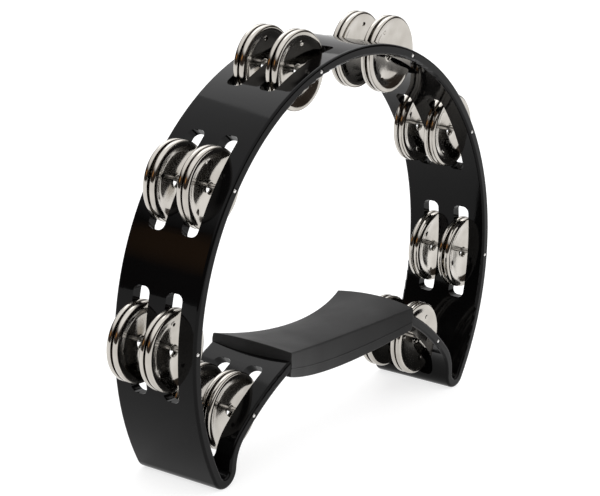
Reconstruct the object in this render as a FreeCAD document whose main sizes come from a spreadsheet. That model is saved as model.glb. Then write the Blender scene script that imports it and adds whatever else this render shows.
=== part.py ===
import FreeCAD, Part
import math
import os
import Sketcher

# A half-moon tambourine: one moulded frame, a rubber sleeve on its handle bar,
# eight cross pins and sixteen pairs of jingles in two rows.
# Millimetres. X runs across the instrument, Y through its depth and Z up.
# The origin is on the ground, midway between the two feet and midway through the depth.

DIMENSIONS = {
    "frame_depth": 45.0,        # front rim to back rim
    "rim_radius": 119.3,        # outside of the arch
    "wall_thickness": 5.0,
    "arch_height": 66.0,        # centre of the arch above the ground
    "foot_radius": 8.0,         # outside of the turn at each foot
    "arm_bend": 20.0,           # centre line of the tight bend above the foot
    "arm_bend_angle": 46.0,
    "arm_sweep": 125.0,         # centre line of the long bend up to the grip
    "arm_reach": 48.0,          # where the arm's centre line stops, from the middle
    "rim_round": 1.25,
    "bar_depth": 22.0,
    "bar_thickness": 4.0,
    "bar_radius": 258.0,
    "bar_low": 39.0,            # height of the bar's centre line at its middle
    "bar_half_length": 53.4,
    "slot_length": 48.0,
    "slot_width": 8.8,
    "slot_corner": 3.0,
    "slot_cut": 18.0,
    "row_pitch": 18.0,
    "station_1": 18.3,          # degrees from the top of the arch to each pair of rows' pin
    "station_2": 55.0,
    "station_3": 89.9,
    "arm_pin_angle": 50.5,      # degrees round the long bend of the arm
    "arm_slot_angle": 44.0,     # degrees of the arm slot's own axis above X
    "pin_diameter": 2.4,
    "pin_tip_round": 0.9,
    "jingle_diameter": 36.4,
    "jingle_hole": 5.0,
    "jingle_depth": 2.6,
    "jingle_metal": 0.8,
    "jingle_corner": 1.6,
    "jingle_gap": 0.9,          # between the two backs of a pair
    "jingle_hang": 0.95,        # a jingle's centre hangs this far below its pin
    "jingle_rest": 1.0,         # a pair at rest lies this far towards the back of its slots
    "grip_half_length": 50.5,
    "grip_bulge": 1.6,          # the end faces swell by this much in plan
    "grip_top": 50.8,           # height of the top at the grip's ends
    "grip_top_sag": 4.8,
    "grip_bottom": 40.4,
    "grip_bottom_sag": 8.4,
    "grip_waist": 7.5,          # each side draws in by this much at the middle
    "grip_round": 2.0,
}

ARCH_STATIONS = 3               # pins on each half of the arch, beside the one on each arm
ROWS = {"front": -1, "back": 1}
DISCS = {"outer": -1, "inner": 1}

FLAT = 0.01                     # an edge that leaves its plane by less than this lies in it
SHORT_EDGE = 1.2                # an edge shorter than this many walls only crosses a wall
MISSED = 0.01                   # a cut that takes away less than this many cubic mm has missed

doc = FreeCAD.newDocument("tambourine")
sheet = doc.addObject("Spreadsheet::Sheet", "dimensions")


def fill_sheet():
    for row, (alias, value) in enumerate(DIMENSIONS.items(), start=1):
        sheet.set(f"A{row}", alias)
        sheet.set(f"B{row}", str(value))
        sheet.setAlias(f"B{row}", alias)
    doc.recompute()


def size(alias):
    return float(sheet.get(alias))


def polar(centre, radius, degrees):
    angle = math.radians(degrees)
    return FreeCAD.Vector(
        centre.x + radius * math.cos(angle), centre.y + radius * math.sin(angle), 0
    )


def arc(centre, radius, start, end):
    """An arc about centre, counter-clockwise from start to end, in degrees."""
    circle = Part.Circle(centre, FreeCAD.Vector(0, 0, 1), radius)
    return Part.ArcOfCircle(circle, math.radians(start), math.radians(end))


def new_body(name):
    body = doc.addObject("PartDesign::Body", name)
    body.Label = name
    return body


def new_sketch(body, name, role, offset=None):
    sketch = body.newObject("Sketcher::SketchObject", name)
    plane = next(item for item in body.Origin.OriginFeatures if item.Role == role)
    sketch.AttachmentSupport = [(plane, "")]
    sketch.MapMode = "FlatFace"
    if offset is not None:
        sketch.AttachmentOffset = offset
    return sketch


def bind(sketch, constraint, expression):
    """Add a dimension to a sketch and tie its value to the sheet."""
    index = sketch.addConstraint(constraint)
    sketch.setExpression(f"Constraints[{index}]", expression)


def cell(alias):
    return f"<<dimensions>>.{alias}"


def volume_of(body):
    doc.recompute()
    return body.Shape.Volume


def pocket(body, sketch, length_expression, upward, midplane=False):
    """Cut a sketch out of a body, and stop if nothing was removed."""
    before = volume_of(body)
    cut = body.newObject("PartDesign::Pocket", f"{sketch.Name}_cut")
    cut.Profile = sketch
    cut.Midplane = midplane
    cut.Reversed = upward
    cut.setExpression("Length", length_expression)
    body.Tip = cut
    if volume_of(body) > before - MISSED:
        raise RuntimeError(f"{cut.Name} removed nothing")
    return cut


def pad(body, sketch, length_expression):
    """Raise a sketch equally to both sides of its plane."""
    raised = body.newObject("PartDesign::Pad", f"{sketch.Name}_pad")
    raised.Profile = sketch
    raised.Midplane = True
    raised.setExpression("Length", length_expression)
    body.Tip = raised
    return raised


def fillet(body, edge_test, radius_alias):
    doc.recompute()
    base = body.Tip
    edges = [
        f"Edge{number}"
        for number, edge in enumerate(base.Shape.Edges, start=1)
        if edge_test(edge)
    ]
    rounded = body.newObject("PartDesign::Fillet", f"{body.Name}_rounding")
    rounded.Base = (base, edges)
    rounded.setExpression("Radius", cell(radius_alias))
    body.Tip = rounded
    return rounded


def add_slot(sketch, centre_x, centre_y, length, width, corner):
    """A rounded rectangle, long in the sketch's x, as lines joined by quarter arcs."""
    right = centre_x + length / 2
    left = centre_x - length / 2
    top = centre_y + width / 2
    bottom = centre_y - width / 2
    corners = [
        (right - corner, top - corner, 0),
        (left + corner, top - corner, 90),
        (left + corner, bottom + corner, 180),
        (right - corner, bottom + corner, 270),
    ]
    first = sketch.GeometryCount
    for x, y, start in corners:
        sketch.addGeometry(arc(FreeCAD.Vector(x, y, 0), corner, start, start + 90))
    for number in range(4):
        here = sketch.Geometry[first + number].EndPoint
        there = sketch.Geometry[first + (number + 1) % 4].StartPoint
        sketch.addGeometry(Part.LineSegment(here, there))
    for number in range(4):
        line = first + 4 + number
        sketch.addConstraint(Sketcher.Constraint("Tangent", first + number, 2, line, 1))
        sketch.addConstraint(
            Sketcher.Constraint("Tangent", line, 2, first + (number + 1) % 4, 1)
        )
    for number in range(1, 4):
        sketch.addConstraint(Sketcher.Constraint("Equal", first, first + number))
    sketch.addConstraint(Sketcher.Constraint("Horizontal", first + 4))
    bind(sketch, Sketcher.Constraint("Radius", first, corner), cell("slot_corner"))
    bind(
        sketch,
        Sketcher.Constraint("DistanceX", first + 1, 2, first + 0, 1, length),
        cell("slot_length"),
    )
    bind(
        sketch,
        Sketcher.Constraint("DistanceY", first + 2, 2, first + 0, 2, width),
        cell("slot_width"),
    )


def centre_line():
    """The right half of the wall's centre line, from the top of the arch to the grip."""
    half_wall = size("wall_thickness") / 2
    arch_centre = FreeCAD.Vector(0, size("arch_height"), 0)
    arch_radius = size("rim_radius") - half_wall
    turn = size("foot_radius") - half_wall
    drop = size("arch_height") - size("foot_radius")
    foot_x = math.sqrt((arch_radius - turn) ** 2 - drop ** 2)
    foot_centre = FreeCAD.Vector(foot_x, size("foot_radius"), 0)
    bend_centre = FreeCAD.Vector(foot_x - turn - size("arm_bend"), size("foot_radius"), 0)
    bend_angle = size("arm_bend_angle")
    sweep_centre = polar(bend_centre, size("arm_bend") - size("arm_sweep"), bend_angle)
    return {
        "arch": (arch_centre, arch_radius),
        "foot": (foot_centre, turn),
        "foot_angle": -math.degrees(math.atan2(drop, foot_x)),
        "bend": (bend_centre, size("arm_bend")),
        "sweep": (sweep_centre, size("arm_sweep")),
    }


def pin_places():
    """Pin name to its x and z, and the direction in degrees that its slots are cut in."""
    line = centre_line()
    centre, radius = line["arch"]
    places = {}
    right_side = []
    for step in range(ARCH_STATIONS):
        from_top = size(f"station_{step + 1}")
        spot = polar(centre, radius, 90 - from_top)
        right_side.append((spot.x, spot.y, 90 - from_top))
    sweep_centre, sweep_radius = line["sweep"]
    arm_pin = polar(sweep_centre, sweep_radius, size("arm_pin_angle"))
    right_side.append((arm_pin.x, arm_pin.y, size("arm_slot_angle")))
    for number, (x, z, direction) in enumerate(right_side, start=1):
        places[f"right_{number}"] = (x, z, direction)
        places[f"left_{number}"] = (-x, z, 180 - direction)
    return places


def draw_centre_line(sketch):
    line = centre_line()
    sweep_centre, sweep_radius = line["sweep"]
    sweep_end = math.degrees(math.acos((size("arm_reach") - sweep_centre.x) / sweep_radius))
    bend = size("arm_bend_angle")
    sketch.addGeometry(arc(*line["arch"], line["foot_angle"], 90))
    sketch.addGeometry(arc(*line["foot"], 180, 360 + line["foot_angle"]))
    sketch.addGeometry(arc(*line["bend"], 0, bend))
    sketch.addGeometry(arc(sweep_centre, sweep_radius, bend, sweep_end))
    arch, foot, tight, sweep = range(4)
    start, end, centre = 1, 2, 3
    sketch.addConstraint(Sketcher.Constraint("PointOnObject", arch, centre, -2))
    sketch.addConstraint(Sketcher.Constraint("PointOnObject", arch, end, -2))
    sketch.addConstraint(Sketcher.Constraint("Tangent", arch, start, foot, end))
    sketch.addConstraint(Sketcher.Constraint("Tangent", foot, start, tight, start))
    sketch.addConstraint(Sketcher.Constraint("Tangent", tight, end, sweep, start))
    sketch.addConstraint(Sketcher.Constraint("Horizontal", foot, start, foot, centre))
    half = f"{cell('wall_thickness')} / 2"
    bind(
        sketch,
        Sketcher.Constraint("DistanceY", -1, 1, arch, centre, size("arch_height")),
        cell("arch_height"),
    )
    bind(
        sketch,
        Sketcher.Constraint("Radius", arch, line["arch"][1]),
        f"{cell('rim_radius')} - {half}",
    )
    bind(
        sketch,
        Sketcher.Constraint("Radius", foot, line["foot"][1]),
        f"{cell('foot_radius')} - {half}",
    )
    bind(
        sketch,
        Sketcher.Constraint("DistanceY", -1, 1, foot, centre, size("foot_radius")),
        cell("foot_radius"),
    )
    bind(sketch, Sketcher.Constraint("Radius", tight, size("arm_bend")), cell("arm_bend"))
    bind(sketch, Sketcher.Constraint("Radius", sweep, sweep_radius), cell("arm_sweep"))
    bind(
        sketch,
        Sketcher.Constraint("DistanceX", -1, 1, sweep, end, size("arm_reach")),
        cell("arm_reach"),
    )
    bind(
        sketch,
        Sketcher.Constraint("Angle", tight, math.radians(bend)),
        f"{cell('arm_bend_angle')} * 1 deg",
    )


def draw_wall_section(sketch):
    """The wall's rectangle at the top of the arch."""
    centre, radius = centre_line()["arch"]
    depth = size("frame_depth")
    wall = size("wall_thickness")
    low = centre.y + radius - wall / 2
    corners = [
        FreeCAD.Vector(-depth / 2, low, 0),
        FreeCAD.Vector(depth / 2, low, 0),
        FreeCAD.Vector(depth / 2, low + wall, 0),
        FreeCAD.Vector(-depth / 2, low + wall, 0),
    ]
    draw_polygon(sketch, corners)
    sketch.addConstraint(Sketcher.Constraint("Horizontal", 2))
    for line in (1, 3):
        sketch.addConstraint(Sketcher.Constraint("Vertical", line))
    sketch.addConstraint(Sketcher.Constraint("Symmetric", 0, 1, 0, 2, -2))
    bind(sketch, Sketcher.Constraint("DistanceX", 0, 1, 0, 2, depth), cell("frame_depth"))
    bind(sketch, Sketcher.Constraint("DistanceY", 1, 1, 1, 2, wall), cell("wall_thickness"))
    bind(
        sketch,
        Sketcher.Constraint("DistanceY", -1, 1, 2, 1, low + wall),
        f"{cell('arch_height')} + {cell('rim_radius')}",
    )


def draw_polygon(sketch, corners):
    count = len(corners)
    for number in range(count):
        sketch.addGeometry(Part.LineSegment(corners[number], corners[(number + 1) % count]))
    for number in range(count):
        sketch.addConstraint(
            Sketcher.Constraint("Coincident", number, 2, (number + 1) % count, 1)
        )


def grip_end_radius():
    half_depth = size("frame_depth") / 2
    return (half_depth ** 2 + size("grip_bulge") ** 2) / (2 * size("grip_bulge"))


def add_grip_ends(sketch, half_depth):
    """The two end arcs of the grip in plan, as wide as asked; returns their numbers."""
    radius = grip_end_radius()
    reach = math.degrees(math.asin(half_depth / radius))
    centre = size("grip_half_length") + size("grip_bulge") - radius
    east = sketch.addGeometry(arc(FreeCAD.Vector(centre, 0, 0), radius, -reach, reach))
    west = sketch.addGeometry(
        arc(FreeCAD.Vector(-centre, 0, 0), radius, 180 - reach, 180 + reach)
    )
    for end in (east, west):
        sketch.addConstraint(Sketcher.Constraint("PointOnObject", end, 3, -1))
    sketch.addConstraint(Sketcher.Constraint("Equal", east, west))
    bulge = cell("grip_bulge")
    bind(
        sketch,
        Sketcher.Constraint("Radius", east, radius),
        f"({cell('frame_depth')}^2 / 4 + {bulge}^2) / (2 * {bulge})",
    )
    return east, west


def draw_grip_gap(sketch):
    """What the grip takes out of the arms, seen from above: swollen ends, straight sides."""
    reach = size("frame_depth")
    east, west = add_grip_ends(sketch, reach)
    corners = sketch.Geometry[:2]
    sketch.addGeometry(Part.LineSegment(corners[0].EndPoint, corners[1].StartPoint))
    sketch.addGeometry(Part.LineSegment(corners[1].EndPoint, corners[0].StartPoint))
    for constraint in (
        ("Coincident", east, 2, 2, 1), ("Coincident", 2, 2, west, 1),
        ("Coincident", west, 2, 3, 1), ("Coincident", 3, 2, east, 1),
        ("Horizontal", 2), ("Horizontal", 3),
    ):
        sketch.addConstraint(Sketcher.Constraint(*constraint))
    bind(
        sketch,
        Sketcher.Constraint("DistanceY", 3, 1, 2, 1, 2 * reach),
        f"2 * {cell('frame_depth')}",
    )


def draw_grip_outside(sketch):
    """All that lies round the grip seen from above: a rectangle with the grip left out."""
    half_length = size("grip_half_length")
    half_depth = size("frame_depth") / 2
    waist = size("grip_waist")
    side_radius = (half_length ** 2 + waist ** 2) / (2 * waist)
    side_angle = math.degrees(math.asin(half_length / side_radius))
    side_centre = half_depth - waist + side_radius
    east, west = add_grip_ends(sketch, half_depth)
    north = sketch.addGeometry(
        arc(FreeCAD.Vector(0, side_centre, 0), side_radius, 270 - side_angle, 270 + side_angle)
    )
    south = sketch.addGeometry(
        arc(FreeCAD.Vector(0, -side_centre, 0), side_radius, 90 - side_angle, 90 + side_angle)
    )
    for constraint in (
        ("Coincident", north, 2, east, 2), ("Coincident", east, 1, south, 1),
        ("Coincident", south, 2, west, 2), ("Coincident", west, 1, north, 1),
        ("PointOnObject", north, 3, -2), ("PointOnObject", south, 3, -2),
        ("Equal", north, south),
    ):
        sketch.addConstraint(Sketcher.Constraint(*constraint))
    bind(
        sketch,
        Sketcher.Constraint("DistanceX", north, 1, north, 2, 2 * half_length),
        f"2 * {cell('grip_half_length')}",
    )
    waist_text = cell("grip_waist")
    bind(
        sketch,
        Sketcher.Constraint("Radius", north, side_radius),
        f"({cell('grip_half_length')}^2 + {waist_text}^2) / (2 * {waist_text})",
    )
    corners = [
        FreeCAD.Vector(x * half_length, y * 2 * half_depth, 0)
        for x, y in ((-2, -1), (2, -1), (2, 1), (-2, 1))
    ]
    for number in range(4):
        sketch.addGeometry(Part.LineSegment(corners[number], corners[(number + 1) % 4]))


def draw_bar(sketch):
    """The handle bar from the front: a curved strip that sags to its middle."""
    radius = size("bar_radius")
    half = size("bar_thickness") / 2
    centre = FreeCAD.Vector(0, size("bar_low") + radius, 0)
    reach = math.degrees(math.asin(size("bar_half_length") / radius))
    sketch.addGeometry(arc(centre, radius + half, 270 - reach, 270 + reach))
    sketch.addGeometry(arc(centre, radius - half, 270 - reach, 270 + reach))
    lower, upper = sketch.Geometry
    sketch.addGeometry(Part.LineSegment(lower.EndPoint, upper.EndPoint))
    sketch.addGeometry(Part.LineSegment(upper.StartPoint, lower.StartPoint))
    for constraint in (
        ("Coincident", 0, 2, 2, 1), ("Coincident", 1, 2, 2, 2),
        ("Coincident", 1, 1, 3, 1), ("Coincident", 0, 1, 3, 2),
        ("Coincident", 0, 3, 1, 3), ("PointOnObject", 0, 3, -2),
        ("Horizontal", 0, 1, 0, 2), ("Horizontal", 1, 1, 1, 2),
    ):
        sketch.addConstraint(Sketcher.Constraint(*constraint))
    half_text = f"{cell('bar_thickness')} / 2"
    bind(
        sketch,
        Sketcher.Constraint("Radius", 0, radius + half),
        f"{cell('bar_radius')} + {half_text}",
    )
    bind(
        sketch,
        Sketcher.Constraint("Radius", 1, radius - half),
        f"{cell('bar_radius')} - {half_text}",
    )
    bind(
        sketch,
        Sketcher.Constraint("DistanceY", -1, 1, 0, 3, centre.y),
        f"{cell('bar_low')} + {cell('bar_radius')}",
    )


def build_frame():
    """One moulding: arch, two feet, two arms and the handle bar between them."""
    body = new_body("frame")
    path = new_sketch(body, "frame_centre_line", "XZ_Plane")
    draw_centre_line(path)
    section = new_sketch(body, "frame_wall", "YZ_Plane")
    draw_wall_section(section)
    doc.recompute()
    sweep = body.newObject("PartDesign::AdditivePipe", "frame_sweep")
    sweep.Profile = section
    sweep.Spine = (path, [f"Edge{number}" for number in range(1, path.GeometryCount + 1)])
    body.Tip = sweep
    doc.recompute()
    mirror = body.newObject("PartDesign::Mirrored", "frame_mirror")
    mirror.Originals = [sweep]
    side = next(item for item in body.Origin.OriginFeatures if item.Role == "YZ_Plane")
    mirror.MirrorPlane = (side, [""])
    body.Tip = mirror

    half_depth = size("frame_depth") / 2
    arm_end = size("arm_reach") + size("wall_thickness")

    def is_rim_edge(edge):
        box = edge.BoundBox
        flat = box.YLength < FLAT and abs(abs(box.YMin) - half_depth) < FLAT
        at_arm_end = abs(box.Center.x) < arm_end and box.ZMax < size("arch_height")
        short = edge.Length < SHORT_EDGE * size("wall_thickness")
        return flat and not (at_arm_end and short)

    fillet(body, is_rim_edge, "rim_round")
    plan = new_sketch(body, "frame_grip_gap", "XY_Plane")
    draw_grip_gap(plan)
    pocket(body, plan, cell("arch_height"), upward=True)
    bar = new_sketch(body, "frame_bar", "XZ_Plane")
    draw_bar(bar)
    pad(body, bar, cell("bar_depth"))
    for name, (x, z, direction) in pin_places().items():
        cut_slots(body, name, x, z, direction)
    bore_pins(body)
    return body


def cut_slots(body, name, x, z, direction):
    """Two slots side by side, cut along a direction in the XZ plane through a pin's place."""
    half_cut = size("slot_cut") / 2
    angle = math.radians(direction)
    inward = FreeCAD.Vector(math.cos(angle), 0, math.sin(angle)) * -half_cut
    origin = FreeCAD.Vector(x, 0, z) + inward
    along = FreeCAD.Vector(math.sin(angle), 0, -math.cos(angle))
    normal = FreeCAD.Vector(math.cos(angle), 0, math.sin(angle))
    turn = FreeCAD.Rotation(along, FreeCAD.Vector(0, 0, 0), normal, "ZXY")
    sketch = new_sketch(
        body, f"frame_slots_{name}", "XY_Plane", FreeCAD.Placement(origin, turn)
    )
    for row in ROWS.values():
        add_slot(
            sketch, 0, row * size("row_pitch") / 2,
            size("slot_length"), size("slot_width"), size("slot_corner"),
        )
    pocket(body, sketch, cell("slot_cut"), upward=True)


def bore_pins(body):
    sketch = new_sketch(body, "frame_pin_bores", "XZ_Plane")
    normal = FreeCAD.Vector(0, 0, 1)
    radius = size("pin_diameter") / 2
    for number, (x, z, _) in enumerate(pin_places().values()):
        sketch.addGeometry(Part.Circle(FreeCAD.Vector(x, z, 0), normal, radius))
        bind(
            sketch,
            Sketcher.Constraint("Radius", number, radius),
            f"{cell('pin_diameter')} / 2",
        )
        sketch.addConstraint(Sketcher.Constraint("DistanceX", -1, 1, number, 3, x))
        sketch.addConstraint(Sketcher.Constraint("DistanceY", -1, 1, number, 3, z))
    pocket(body, sketch, f"2 * {cell('frame_depth')}", upward=False, midplane=True)


def build_grip():
    """A rubber sleeve: saddle-shaped on top, bowed below, with a waist at its middle."""
    body = new_body("grip_sleeve")
    side = new_sketch(body, "grip_side", "XZ_Plane")
    half_length = size("grip_half_length") + 2 * size("grip_bulge")

    def sagging_arc(ends_height, sag):
        radius = (size("grip_half_length") ** 2 + sag ** 2) / (2 * sag)
        reach = math.degrees(math.asin(half_length / radius))
        centre = FreeCAD.Vector(0, ends_height - sag + radius, 0)
        return arc(centre, radius, 270 - reach, 270 + reach), radius

    for name in ("grip_bottom", "grip_top"):
        curve, radius = sagging_arc(size(name), size(f"{name}_sag"))
        number = side.addGeometry(curve)
        side.addConstraint(Sketcher.Constraint("PointOnObject", number, 3, -2))
        side.addConstraint(Sketcher.Constraint("Horizontal", number, 1, number, 2))
        sag = cell(f"{name}_sag")
        radius_text = f"({cell('grip_half_length')}^2 + {sag}^2) / (2 * {sag})"
        bind(side, Sketcher.Constraint("Radius", number, radius), radius_text)
        bind(
            side,
            Sketcher.Constraint("DistanceY", -1, 1, number, 3, curve.Center.y),
            f"{cell(name)} - {sag} + {radius_text}",
        )
    bottom, top = side.Geometry
    side.addGeometry(Part.LineSegment(bottom.EndPoint, top.EndPoint))
    side.addGeometry(Part.LineSegment(top.StartPoint, bottom.StartPoint))
    for constraint in (
        ("Coincident", 0, 2, 2, 1), ("Coincident", 1, 2, 2, 2),
        ("Coincident", 1, 1, 3, 1), ("Coincident", 0, 1, 3, 2),
        ("Vertical", 2),
    ):
        side.addConstraint(Sketcher.Constraint(*constraint))
    bind(
        side,
        Sketcher.Constraint("DistanceX", 0, 1, 0, 2, 2 * half_length),
        f"2 * {cell('grip_half_length')} + 4 * {cell('grip_bulge')}",
    )
    pad(body, side, cell("frame_depth"))
    outline = new_sketch(body, "grip_plan", "XY_Plane")
    draw_grip_outside(outline)
    pocket(body, outline, cell("arch_height"), upward=True)

    fillet(body, lambda edge: edge.BoundBox.XLength > size("grip_half_length"), "grip_round")
    channel = new_sketch(body, "grip_channel", "XZ_Plane")
    draw_bar(channel)
    pocket(body, channel, cell("bar_depth"), upward=False, midplane=True)
    return body


def build_pin(name, x, z):
    """A plain cross pin, pressed into both rims, with rounded tips."""
    body = new_body(name)
    sketch = new_sketch(body, f"{name}_section", "XZ_Plane")
    radius = size("pin_diameter") / 2
    sketch.addGeometry(Part.Circle(FreeCAD.Vector(0, 0, 0), FreeCAD.Vector(0, 0, 1), radius))
    sketch.addConstraint(Sketcher.Constraint("Coincident", 0, 3, -1, 1))
    bind(sketch, Sketcher.Constraint("Radius", 0, radius), f"{cell('pin_diameter')} / 2")
    pad(body, sketch, cell("frame_depth"))
    fillet(body, lambda edge: edge.BoundBox.YLength < FLAT, "pin_tip_round")
    body.Placement = FreeCAD.Placement(FreeCAD.Vector(x, 0, z), FreeCAD.Rotation())
    return body


def draw_jingle(sketch):
    """Half of a shallow pan in section: floor on the x axis, lip standing up on -y."""
    outer = size("jingle_diameter") / 2
    hole = size("jingle_hole") / 2
    metal = size("jingle_metal")
    depth = size("jingle_depth")
    corner = size("jingle_corner")
    bend_centre = FreeCAD.Vector(outer - corner, -corner, 0)
    corner_out = arc(bend_centre, corner, 0, 90)
    corner_in = arc(bend_centre, corner - metal, 0, 90)
    floor_back = FreeCAD.Vector(hole, 0, 0)
    floor_front = FreeCAD.Vector(hole, -metal, 0)
    lip_out = FreeCAD.Vector(outer, -depth, 0)
    lip_in = FreeCAD.Vector(outer - metal, -depth, 0)
    for piece in (
        Part.LineSegment(floor_back, corner_out.EndPoint),
        corner_out,
        Part.LineSegment(corner_out.StartPoint, lip_out),
        Part.LineSegment(lip_out, lip_in),
        Part.LineSegment(lip_in, corner_in.StartPoint),
        corner_in,
        Part.LineSegment(corner_in.EndPoint, floor_front),
        Part.LineSegment(floor_front, floor_back),
    ):
        sketch.addGeometry(piece)
    for constraint in (
        ("Tangent", 0, 2, 1, 2), ("Tangent", 1, 1, 2, 1), ("Coincident", 2, 2, 3, 1),
        ("Coincident", 3, 2, 4, 1), ("Tangent", 4, 2, 5, 1), ("Tangent", 5, 2, 6, 1),
        ("Coincident", 6, 2, 7, 1), ("Coincident", 7, 2, 0, 1), ("Coincident", 1, 3, 5, 3),
        ("PointOnObject", 0, 1, -1), ("Horizontal", 0), ("Vertical", 2),
        ("Horizontal", 3), ("Vertical", 7),
    ):
        sketch.addConstraint(Sketcher.Constraint(*constraint))
    bind(
        sketch,
        Sketcher.Constraint("DistanceX", -1, 1, 0, 1, hole),
        f"{cell('jingle_hole')} / 2",
    )
    bind(
        sketch,
        Sketcher.Constraint("DistanceX", -1, 1, 2, 2, outer),
        f"{cell('jingle_diameter')} / 2",
    )
    bind(sketch, Sketcher.Constraint("DistanceY", 2, 2, -1, 1, depth), cell("jingle_depth"))
    bind(sketch, Sketcher.Constraint("Radius", 1, corner), cell("jingle_corner"))
    bind(
        sketch,
        Sketcher.Constraint("Radius", 5, corner - metal),
        f"{cell('jingle_corner')} - {cell('jingle_metal')}",
    )


def build_jingle(name, x, z, row, disc):
    """One pressed jingle. Its lip faces away from its partner in the pair."""
    body = new_body(name)
    sketch = new_sketch(body, f"{name}_section", "XY_Plane")
    draw_jingle(sketch)
    turned = body.newObject("PartDesign::Revolution", f"{name}_turned")
    turned.Profile = sketch
    turned.ReferenceAxis = (sketch, ["V_Axis"])
    turned.Angle = 360.0
    body.Tip = turned
    half_turn = 0 if disc < 0 else 180
    place = FreeCAD.Vector(
        x,
        row * size("row_pitch") / 2 + size("jingle_rest") + disc * size("jingle_gap") / 2,
        z - size("jingle_hang"),
    )
    rotation = FreeCAD.Rotation(FreeCAD.Vector(0, 0, 1), half_turn)
    body.Placement = FreeCAD.Placement(place, rotation)
    return body


def build_all():
    bodies = [build_frame(), build_grip()]
    for name, (x, z, _) in pin_places().items():
        bodies.append(build_pin(f"pin_{name}", x, z))
        for row_name, row in ROWS.items():
            for disc_name, disc in DISCS.items():
                label = f"jingle_{name}_{row_name}_{disc_name}"
                bodies.append(build_jingle(label, x, z, row, disc))
    doc.recompute()
    return bodies


def check(bodies):
    for item in doc.Objects:
        if "Invalid" in item.State or "Error" in item.State:
            raise RuntimeError(f"{item.Name} did not build")
    for body in bodies:
        if body.Shape.isNull() or not body.Shape.isValid():
            raise RuntimeError(f"{body.Label} has no valid shape")
        if len(body.Shape.Solids) != 1:
            raise RuntimeError(f"{body.Label} is not one solid")


def export(bodies):
    os.makedirs("parts", exist_ok=True)
    for body in bodies:
        body.Shape.exportStep(f"parts/{body.Label}.step")


fill_sheet()
parts = build_all()
check(parts)
export(parts)
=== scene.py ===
import math
import random

import bmesh
import bpy
from mathutils import Matrix, Quaternion, Vector


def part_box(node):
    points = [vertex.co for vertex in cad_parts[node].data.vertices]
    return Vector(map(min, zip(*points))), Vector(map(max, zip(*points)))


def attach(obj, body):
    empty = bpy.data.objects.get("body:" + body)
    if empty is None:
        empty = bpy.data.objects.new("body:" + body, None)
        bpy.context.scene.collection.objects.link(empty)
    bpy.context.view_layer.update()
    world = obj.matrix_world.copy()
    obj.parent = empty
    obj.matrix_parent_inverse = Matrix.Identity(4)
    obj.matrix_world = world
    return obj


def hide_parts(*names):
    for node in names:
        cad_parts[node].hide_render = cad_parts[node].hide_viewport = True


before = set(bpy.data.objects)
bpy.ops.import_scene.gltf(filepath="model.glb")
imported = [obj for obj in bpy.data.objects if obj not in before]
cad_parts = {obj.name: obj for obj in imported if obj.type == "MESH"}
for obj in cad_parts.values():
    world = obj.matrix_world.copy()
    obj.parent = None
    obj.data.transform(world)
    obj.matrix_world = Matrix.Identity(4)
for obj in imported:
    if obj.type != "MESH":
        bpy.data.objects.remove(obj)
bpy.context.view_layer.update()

# The looks of a half-moon tambourine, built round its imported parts. Metres, in the parts' own frame:
# X runs across the instrument, Y from the front rim to the back rim and Z up.
# The frame and the pins keep their own solids. The sleeve and the jingles get finer meshes here.

MM = 0.001

# The grip sleeve, as the handle's own solid has it, with a crowned top, ridged ends and a mould seam.
GRIP_WAIST = 7.5 * MM           # each side draws in by this much at the middle
GRIP_BULGE = 1.6 * MM           # the end faces swell by this much in plan
GRIP_TOP_SAG = 4.8 * MM         # the top's middle lies this far below its ends
GRIP_BOTTOM_SAG = 8.4 * MM      # the bottom's middle lies this far below its ends
GRIP_LIFT = 0.7 * MM            # the top stands this far over the solid's
GRIP_CROWN = 1.6 * MM           # the top swells by this much between its long edges
GRIP_SIDE_CROWN = 0.35 * MM     # the sides swell by this much halfway up
GRIP_EDGE = 1.4 * MM            # rounding of the long edges
GRIP_END_EDGE = 1.2 * MM        # rounding of the end faces' edges
GRIP_EDGE_FACETS = 5
GRIP_RIDGES = 2                 # low ridges moulded across each end face
GRIP_RIDGE_DEPTH = 0.3 * MM
GRIP_LENGTH_STEPS = 48
GRIP_WIDTH_STEPS = 16
GRIP_HEIGHT_STEPS = 16
SEAM_PLACE = 0.36               # height of the mould seam, as a share of the side's height
SEAM_HEIGHT = 0.28 * MM
SEAM_WIDTH = 0.7 * MM

# One pressed disc, seen in half section: radius and height over its flat back, in millimetres.
JINGLE_HOLLOW = [
    (2.50, 0.42), (2.64, 0.74), (3.00, 0.88), (3.50, 0.80), (4.60, 0.76), (6.50, 0.80), (8.50, 0.92),
    (10.50, 1.12), (11.80, 1.30), (12.80, 1.52), (13.80, 1.84), (14.80, 2.17), (15.60, 2.41),
    (16.30, 2.55), (16.90, 2.60), (17.40, 2.52), (17.85, 2.24), (18.12, 1.80), (18.20, 1.35),
]
JINGLE_BACK = [
    (18.20, 0.85), (18.12, 0.42), (17.88, 0.14), (17.52, 0.14), (17.20, 0.55), (16.50, 1.28), (15.20, 1.42),
    (14.00, 1.10), (12.20, 0.66), (10.50, 0.44), (8.50, 0.24), (6.50, 0.10), (4.00, 0.03), (2.80, 0.04),
    (2.54, 0.16),
]
JINGLE_STEPS = 3                # smooth steps from one point of the section to the next
JINGLE_TURNS = 120              # facets round a disc
DIMPLES = 3
DIMPLE_RADIUS = 1.5 * MM
DIMPLE_DEPTH = 0.42 * MM
DIMPLE_CIRCLE = 12.2 * MM
PRESS_WARP = 0.09 * MM          # how far a pressed face is out of true
PRESS_WAVES = [                 # waves round a disc, phase, share of the warp, power of the radius
    (2, 0.6, 1.0, 2),
    (3, 2.0, 0.6, 1),
]
LEAN = 0.8                      # a loose disc leans by up to this many degrees

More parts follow.
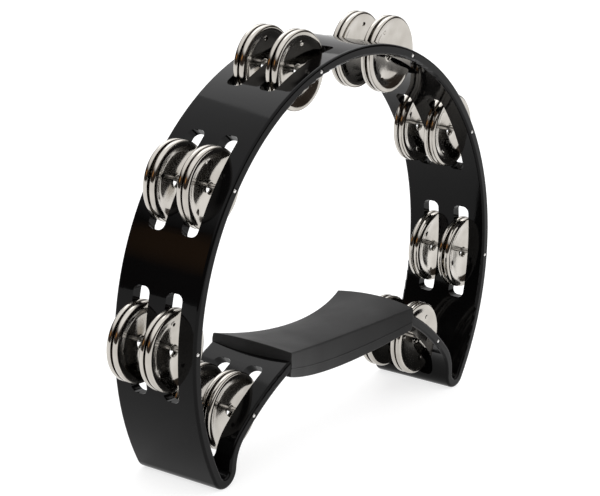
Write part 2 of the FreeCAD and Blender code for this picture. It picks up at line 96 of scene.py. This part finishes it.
# The camera: its bearing and height round the instrument, in degrees, and where it looks.
CAMERA_AZIMUTH = -54.63
CAMERA_ELEVATION = 14.42
CAMERA_ROLL = 2.58
CAMERA_DISTANCE = 0.911
CAMERA_LENS = 115.15
CAMERA_TARGET = Vector((0.004, 0.014, 0.0835))

# The room's light. The ceiling's limits are sines of the angle above the horizon; the backdrop's and
# the glow's are cosines of the angle from their own directions.
CEILING_FROM = 0.42
CEILING_TO = 0.62
BACKDROP_SIDE = (0.816, 0.578, 0.0)
BACKDROP_FROM = 0.55
BACKDROP_TO = 0.85
BACKDROP_SHARE = 0.50           # of the ceiling's brightness
WALL_COLOUR = (0.045, 0.036, 0.030)
ROOM_COLOUR = (1.45, 1.45, 1.46)
PAPER_COLOUR = (1.0, 1.0, 1.0)
GLOW_SIDE = (-0.767, 0.556, 0.320)
GLOW_FROM = 0.988
GLOW_TO = 0.999
GLOW_COLOUR = (0.75, 0.36, 0.11)
SOFTBOX_PLACE = (0.9, 0.7, 1.3)
SOFTBOX_AIM = (0.6, 0.5, 0)
SOFTBOX_SIZE = 1.4
SOFTBOX_POWER = 8
FLOOR_SIZE = 40

SEED = 7


def node_tree(name, **values):
    """A new material, its node tree and its Principled shader with the given values set on it."""
    material = bpy.data.materials.new(name)
    material.use_nodes = True
    tree = material.node_tree
    shader = tree.nodes["Principled BSDF"]
    for key, value in values.items():
        shader.inputs[key.replace("_", " ")].default_value = value
    return material, tree, shader


def add_node(tree, kind, **values):
    """A new node; each value goes to the input of its name, or else to the node's own setting."""
    node = tree.nodes.new(kind)
    for key, value in values.items():
        key_name = key.replace("_", " ")
        if key_name in node.inputs:
            node.inputs[key_name].default_value = value
        else:
            setattr(node, key, value)
    return node


def noise(tree, coordinates, scale, detail=3.0, roughness=0.5):
    texture = add_node(tree, "ShaderNodeTexNoise", Scale=scale, Detail=detail, Roughness=roughness)
    tree.links.new(coordinates, texture.inputs["Vector"])
    return texture.outputs["Fac"]


def spread(tree, value, low, high, start=0.0, end=1.0):
    """Maps the part of a pattern from start to end to the range from low to high."""
    scale = add_node(tree, "ShaderNodeMapRange", From_Min=start, From_Max=end, To_Min=low, To_Max=high)
    tree.links.new(value, scale.inputs["Value"])
    return scale.outputs["Result"]


def tint(tree, value, dark, light):
    """A colour between dark and light, by a 0 to 1 pattern. Each is a colour or another node's output."""
    mix = add_node(tree, "ShaderNodeMix", data_type="RGBA")
    tree.links.new(value, mix.inputs["Factor"])
    sockets = [socket for socket in mix.inputs if socket.type == "RGBA"]
    for socket, colour in zip(sockets, (dark, light)):
        if isinstance(colour, bpy.types.NodeSocket):
            tree.links.new(colour, socket)
        else:
            socket.default_value = (*colour, 1)
    return next(socket for socket in mix.outputs if socket.type == "RGBA")


def bump(tree, height, shader, distance, strength, below=None):
    """Relief from a height pattern, laid over the relief below it."""
    node = add_node(tree, "ShaderNodeBump", Strength=strength, Distance=distance)
    tree.links.new(height, node.inputs["Height"])
    if below is not None:
        tree.links.new(below, node.inputs["Normal"])
    tree.links.new(node.outputs["Normal"], shader.inputs["Normal"])
    return node.outputs["Normal"]


def object_coordinates(tree):
    return add_node(tree, "ShaderNodeTexCoord").outputs["Object"]


def stretch(tree, coordinates, scale):
    """Coordinates scaled along each axis by its own share."""
    node = add_node(tree, "ShaderNodeVectorMath", operation="MULTIPLY")
    node.inputs[1].default_value = scale
    tree.links.new(coordinates, node.inputs[0])
    return node.outputs["Vector"]


def gloss_black_plastic():
    """Moulded ABS with a polished skin: nearly black, with the faint waves and hairlines of handling."""
    material, tree, shader = node_tree("gloss_black_plastic", IOR=1.46, Specular_IOR_Level=0.125)
    place = object_coordinates(tree)
    colour = tint(tree, noise(tree, place, scale=22.0), (0.0016, 0.0015, 0.0016), (0.0034, 0.0033, 0.0034))
    tree.links.new(colour, shader.inputs["Base Color"])
    hairlines = noise(tree, place, scale=55.0, detail=6.0, roughness=0.65)
    worn = spread(tree, hairlines, low=0.035, high=0.11, start=0.3, end=0.75)
    tree.links.new(worn, shader.inputs["Roughness"])
    swell = noise(tree, place, scale=30.0, detail=1.0)
    waves = bump(tree, swell, shader, distance=0.8 * MM, strength=0.10)
    skin = noise(tree, place, scale=900.0, detail=2.0)
    bump(tree, skin, shader, distance=0.02 * MM, strength=0.25, below=waves)
    return material


def soft_rubber():
    """Matt rubber with a fine moulded grain."""
    material, tree, shader = node_tree(
        "soft_rubber", IOR=1.5, Specular_IOR_Level=0.11, Sheen_Weight=0.04, Sheen_Roughness=0.5)
    place = object_coordinates(tree)
    dust = noise(tree, place, scale=70.0, detail=5.0)
    colour = tint(tree, dust, (0.0165, 0.0163, 0.0163), (0.0245, 0.0242, 0.0242))
    tree.links.new(colour, shader.inputs["Base Color"])
    worn = spread(tree, noise(tree, place, scale=40.0, detail=4.0), low=0.42, high=0.56, start=0.3, end=0.7)
    tree.links.new(worn, shader.inputs["Roughness"])
    bump(tree, noise(tree, place, scale=2600.0), shader, distance=0.06 * MM, strength=0.30)
    return material


def bright_nickel():
    """Nickel plate over pressed steel: bright, slightly warm, with the fine rings left by polishing."""
    material, tree, shader = node_tree("bright_nickel", Metallic=1.0)
    place = object_coordinates(tree)
    clouds = spread(tree, noise(tree, place, scale=70.0, detail=2.0), low=0.0, high=1.0, start=0.3, end=0.7)
    colour = tint(tree, clouds, (0.37, 0.345, 0.31), (0.55, 0.525, 0.485))
    tree.links.new(colour, shader.inputs["Base Color"])
    smears = noise(tree, place, scale=260.0, detail=5.0, roughness=0.7)
    worn = spread(tree, smears, low=0.07, high=0.17, start=0.35, end=0.75)
    tree.links.new(worn, shader.inputs["Roughness"])
    radius = add_node(tree, "ShaderNodeVectorMath", operation="LENGTH")
    tree.links.new(stretch(tree, place, (1, 0, 1)), radius.inputs[0])
    rings = add_node(tree, "ShaderNodeTexNoise", noise_dimensions="1D", Scale=3500.0, Detail=2.0)
    tree.links.new(radius.outputs["Value"], rings.inputs["W"])
    marks = bump(tree, rings.outputs["Fac"], shader, distance=0.01 * MM, strength=0.25)
    dents = noise(tree, place, scale=180.0, detail=2.0)
    bump(tree, dents, shader, distance=0.2 * MM, strength=0.10, below=marks)
    return material


def drawn_steel():
    """Bright drawn wire, with fine marks along its length."""
    material, tree, shader = node_tree("drawn_steel", Metallic=1.0)
    place = object_coordinates(tree)
    drawn = noise(tree, stretch(tree, place, (1, 0.04, 1)), scale=3000.0)
    tree.links.new(tint(tree, drawn, (0.62, 0.61, 0.59), (0.76, 0.75, 0.73)), shader.inputs["Base Color"])
    tree.links.new(spread(tree, drawn, low=0.24, high=0.38), shader.inputs["Roughness"])
    bump(tree, drawn, shader, distance=0.02 * MM, strength=0.3)
    return material


def paper_floor():
    """White paper, lit from all round and so bright that it hides most of a shadow."""
    material, tree, shader = node_tree(
        "paper_floor", Emission_Strength=2.0, Roughness=0.85, Specular_IOR_Level=0.1)
    place = object_coordinates(tree)
    colour = tint(tree, noise(tree, place, scale=3.0), (0.37, 0.37, 0.37), (0.39, 0.39, 0.39))
    tree.links.new(colour, shader.inputs["Base Color"])
    tree.links.new(colour, shader.inputs["Emission Color"])
    return material


def dress(node, material):
    """Gives a carried CAD node its finish."""
    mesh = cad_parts[node].data
    mesh.materials.clear()
    mesh.materials.append(material)


def add_piece(name, mesh, material, body, node, place=Matrix.Identity(4)):
    mesh.materials.clear()
    mesh.materials.append(material)
    piece = bpy.data.objects.new(name, mesh)
    bpy.context.scene.collection.objects.link(piece)
    piece.matrix_world = place
    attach(piece, body)
    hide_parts(node)
    return piece


def smooth_line(points, steps, closed=True):
    """A curve through points, with steps pieces from each point to the next."""
    line = []
    count = len(points)
    for index in range(count):
        before, start, end, after = (Vector(points[(index + shift) % count]) for shift in (-1, 0, 1, 2))
        for step in range(steps):
            t = step / steps
            line.append(0.5 * (
                2 * start + (end - before) * t
                + (2 * before - 5 * start + 4 * end - after) * t ** 2
                + (3 * start - before - 3 * end + after) * t ** 3
            ))
    return line


def dimple_depth(x, z):
    """How far the face is dented at a place on a disc: three small round dents on one circle."""
    depth = 0.0
    for number in range(DIMPLES):
        angle = 2 * math.pi * number / DIMPLES
        away = math.hypot(x - DIMPLE_CIRCLE * math.cos(angle), z - DIMPLE_CIRCLE * math.sin(angle))
        if away < DIMPLE_RADIUS:
            depth += DIMPLE_DEPTH * (0.5 + 0.5 * math.cos(math.pi * away / DIMPLE_RADIUS))
    return depth


def jingle_mesh():
    """One pressed disc about its own centre, with its flat back at y = 0 and its hollow side to -Y."""
    section = smooth_line([Vector(point) * MM for point in JINGLE_HOLLOW + JINGLE_BACK], JINGLE_STEPS)
    rim = max(point.x for point in section)
    shape = bmesh.new()
    rings = []
    for radius, height in section:
        ring = []
        for turn in range(JINGLE_TURNS):
            angle = 2 * math.pi * turn / JINGLE_TURNS
            x = radius * math.cos(angle)
            z = radius * math.sin(angle)
            warp = sum(
                share * PRESS_WARP * math.sin(waves * angle + phase) * (radius / rim) ** power
                for waves, phase, share, power in PRESS_WAVES
            )
            y = -(height + warp - dimple_depth(x, z))
            ring.append(shape.verts.new((x, y, z)))
        rings.append(ring)
    for index, ring in enumerate(rings):
        following = rings[(index + 1) % len(rings)]
        for turn in range(JINGLE_TURNS):
            after = (turn + 1) % JINGLE_TURNS
            shape.faces.new((ring[turn], ring[after], following[after], following[turn]))
    bmesh.ops.recalc_face_normals(shape, faces=shape.faces)
    mesh = bpy.data.meshes.new("jingle")
    shape.to_mesh(mesh)
    shape.free()
    mesh.shade_smooth()
    return mesh


def add_jingles(material):
    """A detailed disc on every jingle body, each turned to a clocking and a lean of its own."""
    rng = random.Random(SEED)
    pressed = jingle_mesh()
    for node in sorted(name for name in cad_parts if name.startswith("jingle")):
        low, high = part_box(node)
        middle = (low + high) / 2
        clocking = Matrix.Rotation(rng.uniform(0, 2 * math.pi), 4, "Y")
        lean = Matrix.Rotation(math.radians(rng.uniform(0, LEAN)), 4, "X")
        turn = Matrix.Rotation(math.radians(rng.uniform(-LEAN, LEAN)), 4, "Z")
        if node.endswith("outer"):
            back = high.y
            side = Matrix.Identity(4)
        else:
            back = low.y
            side = Matrix.Rotation(math.pi, 4, "Z")
        mesh = pressed.copy()
        mesh.transform(side @ clocking)
        place = Matrix.Translation((middle.x, back, middle.z)) @ turn @ lean
        add_piece(node + "_disc", mesh, material, node, node, place)


def grip_point(along, across, up, low, high):
    """A point of the sleeve's skin. The places along, across and up it run from -1 to 1."""
    half_length = high.x - GRIP_BULGE
    half_depth = high.y
    waist = half_depth - GRIP_WAIST * (1 - along ** 2)
    y = across * waist
    x = along * (half_length + GRIP_BULGE * (1 - (y / half_depth) ** 2))
    top = high.z + GRIP_LIFT - GRIP_TOP_SAG * (1 - along ** 2)
    bottom = low.z + GRIP_BOTTOM_SAG * along ** 2
    share = (up + 1) / 2
    z = bottom + (top - bottom) * share + GRIP_CROWN * max(0.0, 2 * share - 1) * (1 - across ** 2)
    y += math.copysign(GRIP_SIDE_CROWN * (1 - up ** 2), across) * abs(across) ** 6
    if abs(along) == 1:
        x -= along * GRIP_RIDGE_DEPTH * (0.5 + 0.5 * math.cos(2 * math.pi * GRIP_RIDGES * share))
    return Vector((x, y, z))


def levels(steps):
    """Evenly spaced places from -1 to 1."""
    return [-1 + 2 * index / steps for index in range(steps + 1)]


def add_grip(material):
    """The rubber sleeve: a waisted, saddle-shaped block with rounded edges and a fine mould seam."""
    low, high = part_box("grip_sleeve")
    ends = levels(GRIP_LENGTH_STEPS)
    widths = levels(GRIP_WIDTH_STEPS)
    seam = 2 * SEAM_PLACE - 1
    half_height = (high.z - low.z) / 2
    step = SEAM_WIDTH / 2 / half_height
    seam_heights = [seam + shift * step for shift in (-2, -1, 0, 1, 2)]
    clear_heights = [level for level in levels(GRIP_HEIGHT_STEPS) if abs(level - seam) > 3 * step]
    heights = sorted(seam_heights + clear_heights)
    shape = bmesh.new()
    made = {}

    def corner(a, b, c):
        key = (a, b, c)
        if key not in made:
            point = grip_point(a, b, c, low, high)
            if c == seam and abs(b) == 1:
                point.y += math.copysign(SEAM_HEIGHT, b)
            made[key] = shape.verts.new(point)
        return made[key]

    def sheet(firsts, seconds, place):
        for a0, a1 in zip(firsts, firsts[1:]):
            for b0, b1 in zip(seconds, seconds[1:]):
                square = ((a0, b0), (a1, b0), (a1, b1), (a0, b1))
                shape.faces.new([corner(*place(a, b)) for a, b in square])

    for level in (-1, 1):
        sheet(ends, widths, lambda a, b: (a, b, level))
        sheet(ends, heights, lambda a, c: (a, level, c))
        sheet(widths, heights, lambda b, c: (level, b, c))
    bmesh.ops.recalc_face_normals(shape, faces=shape.faces)
    weights = shape.edges.layers.float.new("bevel_weight_edge")
    places = {vertex: key for key, vertex in made.items()}
    for edge in shape.edges:
        first, second = (places[vertex] for vertex in edge.verts)
        sides = [a == b and abs(a) == 1 for a, b in zip(first, second)]
        if sum(sides) == 2:
            edge[weights] = GRIP_END_EDGE / GRIP_EDGE if sides[0] else 1.0
    mesh = bpy.data.meshes.new("grip")
    shape.to_mesh(mesh)
    shape.free()
    mesh.shade_smooth()
    grip = add_piece("grip_skin", mesh, material, "frame", "grip_sleeve")
    rounding = grip.modifiers.new("edges", "BEVEL")
    rounding.limit_method = "WEIGHT"
    rounding.width = GRIP_EDGE
    rounding.segments = GRIP_EDGE_FACETS
    grip.modifiers.new("shading", "WEIGHTED_NORMAL")


def add_floor(material):
    bpy.ops.mesh.primitive_plane_add(size=FLOOR_SIZE)
    floor = bpy.context.object
    floor.name = "floor"
    floor.data.materials.append(material)


def add_softbox():
    """One large soft light, overhead and behind."""
    light = bpy.data.lights.new("overhead", "AREA")
    light.shape = "SQUARE"
    light.size = SOFTBOX_SIZE
    light.energy = SOFTBOX_POWER
    lamp = bpy.data.objects.new("overhead", light)
    lamp.location = SOFTBOX_PLACE
    lamp.rotation_mode = "QUATERNION"
    lamp.rotation_quaternion = (Vector(SOFTBOX_AIM) - Vector(SOFTBOX_PLACE)).to_track_quat("-Z", "Y")
    bpy.context.scene.collection.objects.link(lamp)


def facing(tree, direction, side):
    """The cosine of the angle between a direction and a fixed one."""
    node = add_node(tree, "ShaderNodeVectorMath", operation="DOT_PRODUCT")
    node.inputs[1].default_value = side
    tree.links.new(direction, node.inputs[0])
    return node.outputs["Value"]


def light_room():
    """The room round the instrument: a bright ceiling, a white backdrop on one side and dim walls.

    The walls light the instrument and show in it. Past the edge of the floor there is plain white paper.
    """
    world = bpy.data.worlds.new("studio")
    world.use_nodes = True
    tree = world.node_tree
    direction = add_node(tree, "ShaderNodeTexCoord").outputs["Generated"]
    parts = add_node(tree, "ShaderNodeSeparateXYZ")
    tree.links.new(direction, parts.inputs["Vector"])
    ceiling = spread(tree, parts.outputs["Z"], 0.0, 1.0, CEILING_FROM, CEILING_TO)
    backdrop = spread(
        tree, facing(tree, direction, BACKDROP_SIDE), 0.0, BACKDROP_SHARE, BACKDROP_FROM, BACKDROP_TO)
    lit = add_node(tree, "ShaderNodeMath", operation="MAXIMUM")
    tree.links.new(ceiling, lit.inputs[0])
    tree.links.new(backdrop, lit.inputs[1])
    glow = spread(tree, facing(tree, direction, GLOW_SIDE), 0.0, 1.0, GLOW_FROM, GLOW_TO)
    wall = tint(tree, glow, WALL_COLOUR, GLOW_COLOUR)
    room = tint(tree, lit.outputs["Value"], wall, ROOM_COLOUR)
    seen = add_node(tree, "ShaderNodeLightPath").outputs["Is Camera Ray"]
    shown = tint(tree, seen, room, PAPER_COLOUR)
    tree.links.new(shown, tree.nodes["Background"].inputs["Color"])
    bpy.context.scene.world = world


def add_lights():
    """Soft studio light, shown without any film curve."""
    add_softbox()
    light_room()
    bpy.context.scene.view_settings.view_transform = "Standard"


def add_camera():
    azimuth = math.radians(CAMERA_AZIMUTH)
    elevation = math.radians(CAMERA_ELEVATION)
    back = Vector((
        math.sin(azimuth) * math.cos(elevation),
        -math.cos(azimuth) * math.cos(elevation),
        math.sin(elevation),
    ))
    camera = bpy.data.objects.new("camera", bpy.data.cameras.new("camera"))
    camera.data.lens = CAMERA_LENS
    camera.location = CAMERA_TARGET + back * CAMERA_DISTANCE
    camera.rotation_mode = "QUATERNION"
    roll = Quaternion((0, 0, 1), math.radians(CAMERA_ROLL))
    camera.rotation_quaternion = (-back).to_track_quat("-Z", "Y") @ roll
    bpy.context.scene.collection.objects.link(camera)
    bpy.context.scene.camera = camera


add_camera()
dress("frame", gloss_black_plastic())
steel = drawn_steel()
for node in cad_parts:
    if node.startswith("pin"):
        dress(node, steel)
add_grip(soft_rubber())
add_jingles(bright_nickel())
add_floor(paper_floor())
add_lights()
